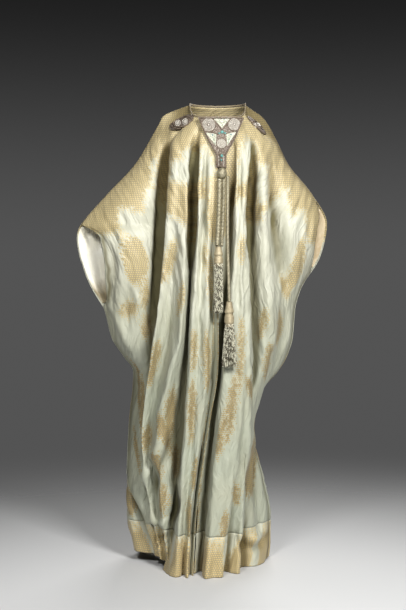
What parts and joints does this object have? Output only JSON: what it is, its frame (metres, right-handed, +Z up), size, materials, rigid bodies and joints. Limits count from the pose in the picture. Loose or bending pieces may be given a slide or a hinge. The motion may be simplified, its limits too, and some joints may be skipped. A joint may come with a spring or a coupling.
{
  "type": "evening coat",
  "caption": "Floor-length silk brocade evening coat with wide sleeves cut in one, a beaded plastron at the neck and hanging cords with tassels.",
  "frame": {"origin": "middle of the neck opening at the height of the neck points, where the wearer's neck and shoulders carry the coat", "axes": "+Z up, -Y the way the wearer faces, +X towards the wearer's left"},
  "size_m": [0.7868, 0.4865, 1.4376],
  "materials": {
    "celadon_silk": "silk brocade, pale celadon green with a soft sheen",
    "gold_brocade": "silk brocade woven mostly in dull gold",
    "ivory_satin": "smooth ivory satin",
    "beadwork": "cloth covered with bead and metal-thread embroidery",
    "metal_cord": "twisted cord and strands of dull silver-gold thread"
  },
  "bodies": {
    "root": {"front_right": "celadon_silk", "front_left": "celadon_silk", "back_right": "celadon_silk", "back_left": "celadon_silk", "hem_band_right": "gold_brocade", "hem_band_left": "gold_brocade", "hem_band_back": "gold_brocade", "cuff_facing_right": "ivory_satin", "cuff_facing_left": "ivory_satin", "neck_binding": "ivory_satin", "plastron": "beadwork", "shoulder_ornament_right": "beadwork", "shoulder_ornament_left": "beadwork", "cord_knot": "metal_cord", "cord_right_outer": "metal_cord", "cord_right_inner": "metal_cord", "cord_left": "metal_cord", "tassel_right": "metal_cord", "tassel_left": "metal_cord"}
  },
  "joints": []
}
